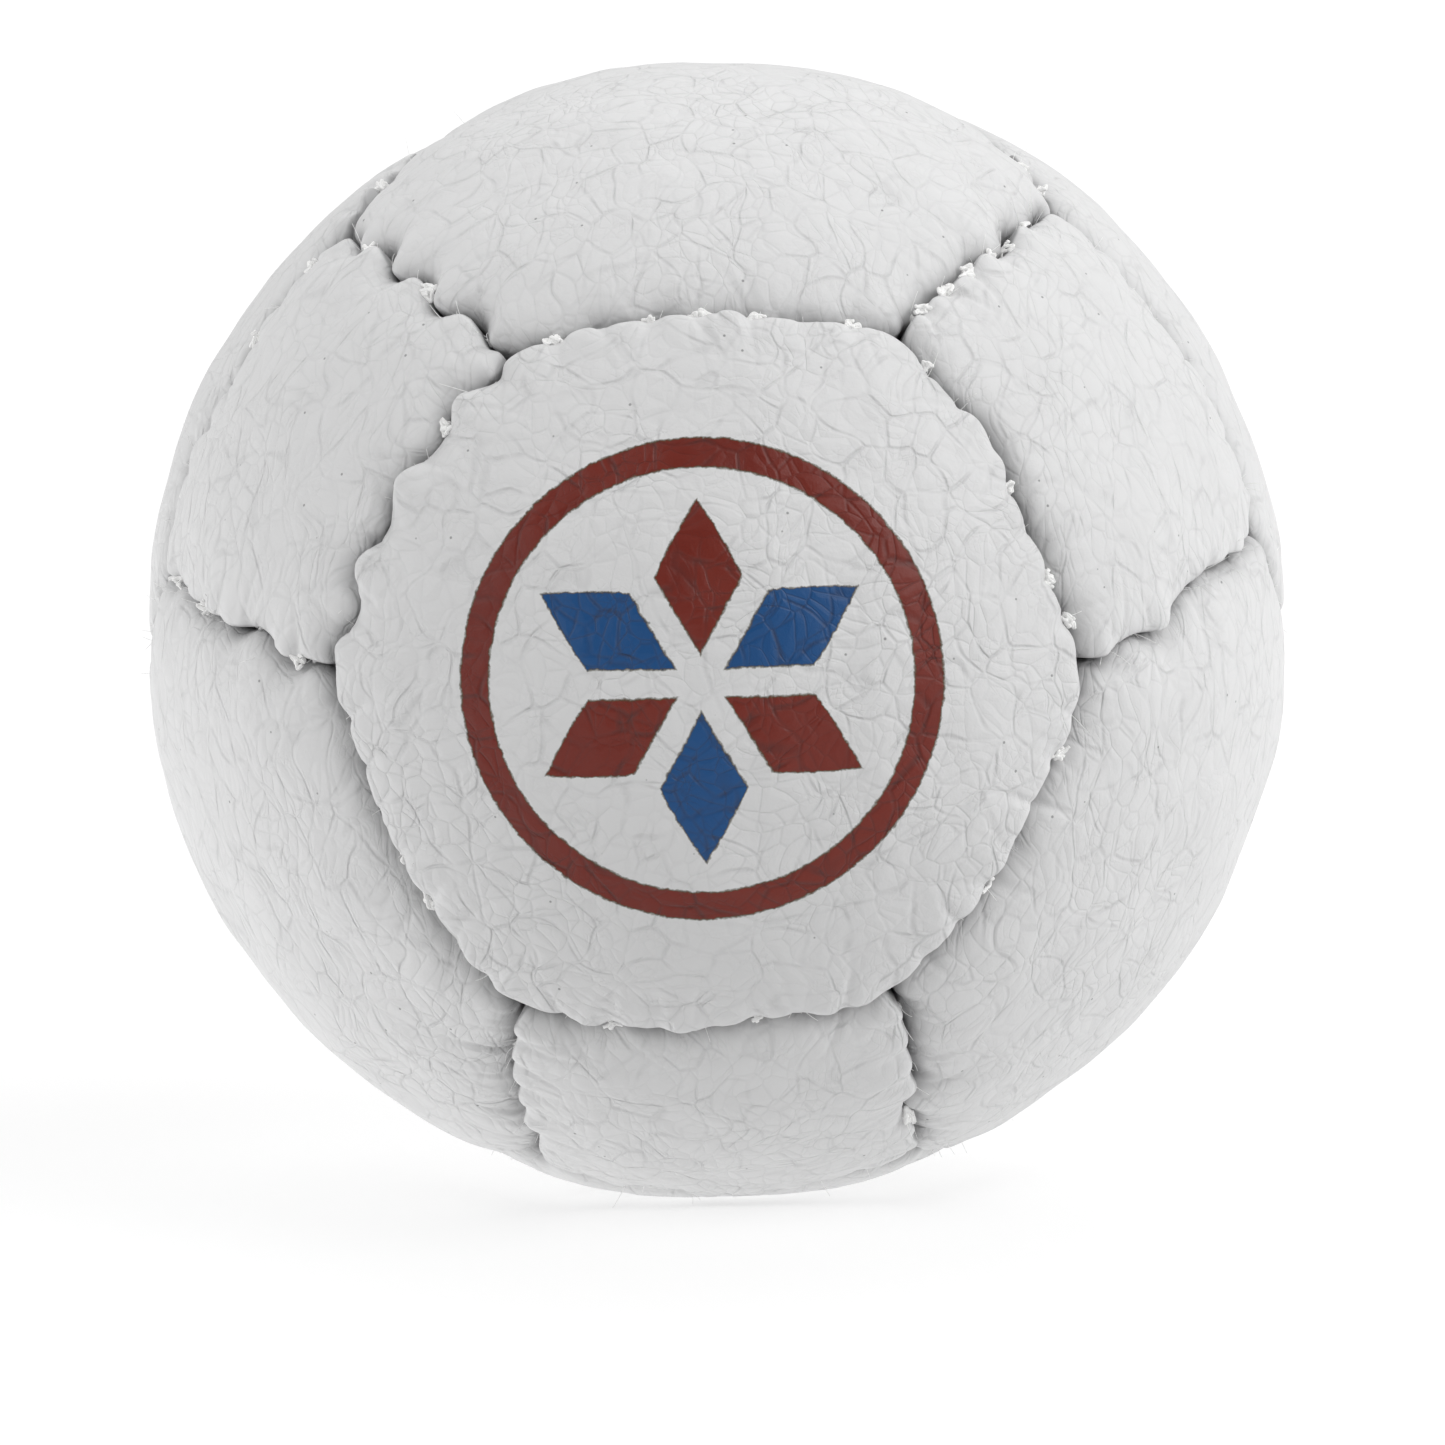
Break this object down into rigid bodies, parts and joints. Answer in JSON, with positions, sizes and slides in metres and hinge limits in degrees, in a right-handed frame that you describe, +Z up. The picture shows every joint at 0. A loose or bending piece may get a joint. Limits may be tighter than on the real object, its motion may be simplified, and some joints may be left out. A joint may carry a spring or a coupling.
{
  "type": "weighted training ball",
  "caption": "Small round ball laced together from six-sided and square leather-like panels with turned-in seams, round a dense granule fill.",
  "frame": {"origin": "middle of the small flat on which the filled ball settles", "axes": "+Z up, the printed panel faces -Y, +X to the right of somebody facing that panel"},
  "size_m": [0.064, 0.064, 0.0634],
  "materials": {
    "cover_leather": "white grained synthetic leather, satin",
    "printed_leather": "white grained synthetic leather with a two-colour printed ornament",
    "thread": "white twisted polyester",
    "granules": "packed dark granules"
  },
  "bodies": {
    "root": {"granule_fill": "granules", "panel_back": "cover_leather", "panel_base": "cover_leather", "panel_front": "printed_leather", "panel_high_left": "cover_leather", "panel_high_right": "cover_leather", "panel_low_left": "cover_leather", "panel_low_right": "cover_leather", "panel_square_back_high": "cover_leather", "panel_square_back_left": "cover_leather", "panel_square_back_right": "cover_leather", "panel_square_left": "cover_leather", "panel_square_low": "cover_leather", "panel_square_right": "cover_leather", "panel_top": "cover_leather", "thread_back_to_square_back_high": "thread", "thread_back_to_square_back_left": "thread", "thread_back_to_square_back_right": "thread", "thread_base_to_back": "thread", "thread_base_to_square_back_left": "thread", "thread_base_to_square_back_right": "thread", "thread_base_to_square_low": "thread", "thread_front_to_low_left": "thread", "thread_front_to_low_right": "thread", "thread_front_to_square_left": "thread", "thread_front_to_square_low": "thread", "thread_front_to_square_right": "thread", "thread_front_to_top": "thread", "thread_high_left_to_back": "thread", "thread_high_left_to_square_back_high": "thread", "thread_high_left_to_square_back_left": "thread", "thread_high_left_to_square_left": "thread", "thread_high_right_to_back": "thread", "thread_high_right_to_square_back_high": "thread", "thread_high_right_to_square_back_right": "thread", "thread_high_right_to_square_right": "thread", "thread_low_left_to_base": "thread", "thread_low_left_to_high_left": "thread", "thread_low_left_to_square_back_left": "thread", "thread_low_left_to_square_left": "thread", "thread_low_left_to_square_low": "thread", "thread_low_right_to_base": "thread", "thread_low_right_to_high_right": "thread", "thread_low_right_to_square_back_right": "thread", "thread_low_right_to_square_low": "thread", "thread_low_right_to_square_right": "thread", "thread_top_to_high_left": "thread", "thread_top_to_high_right": "thread", "thread_top_to_square_back_high": "thread", "thread_top_to_square_left": "thread", "thread_top_to_square_right": "thread"}
  },
  "joints": []
}
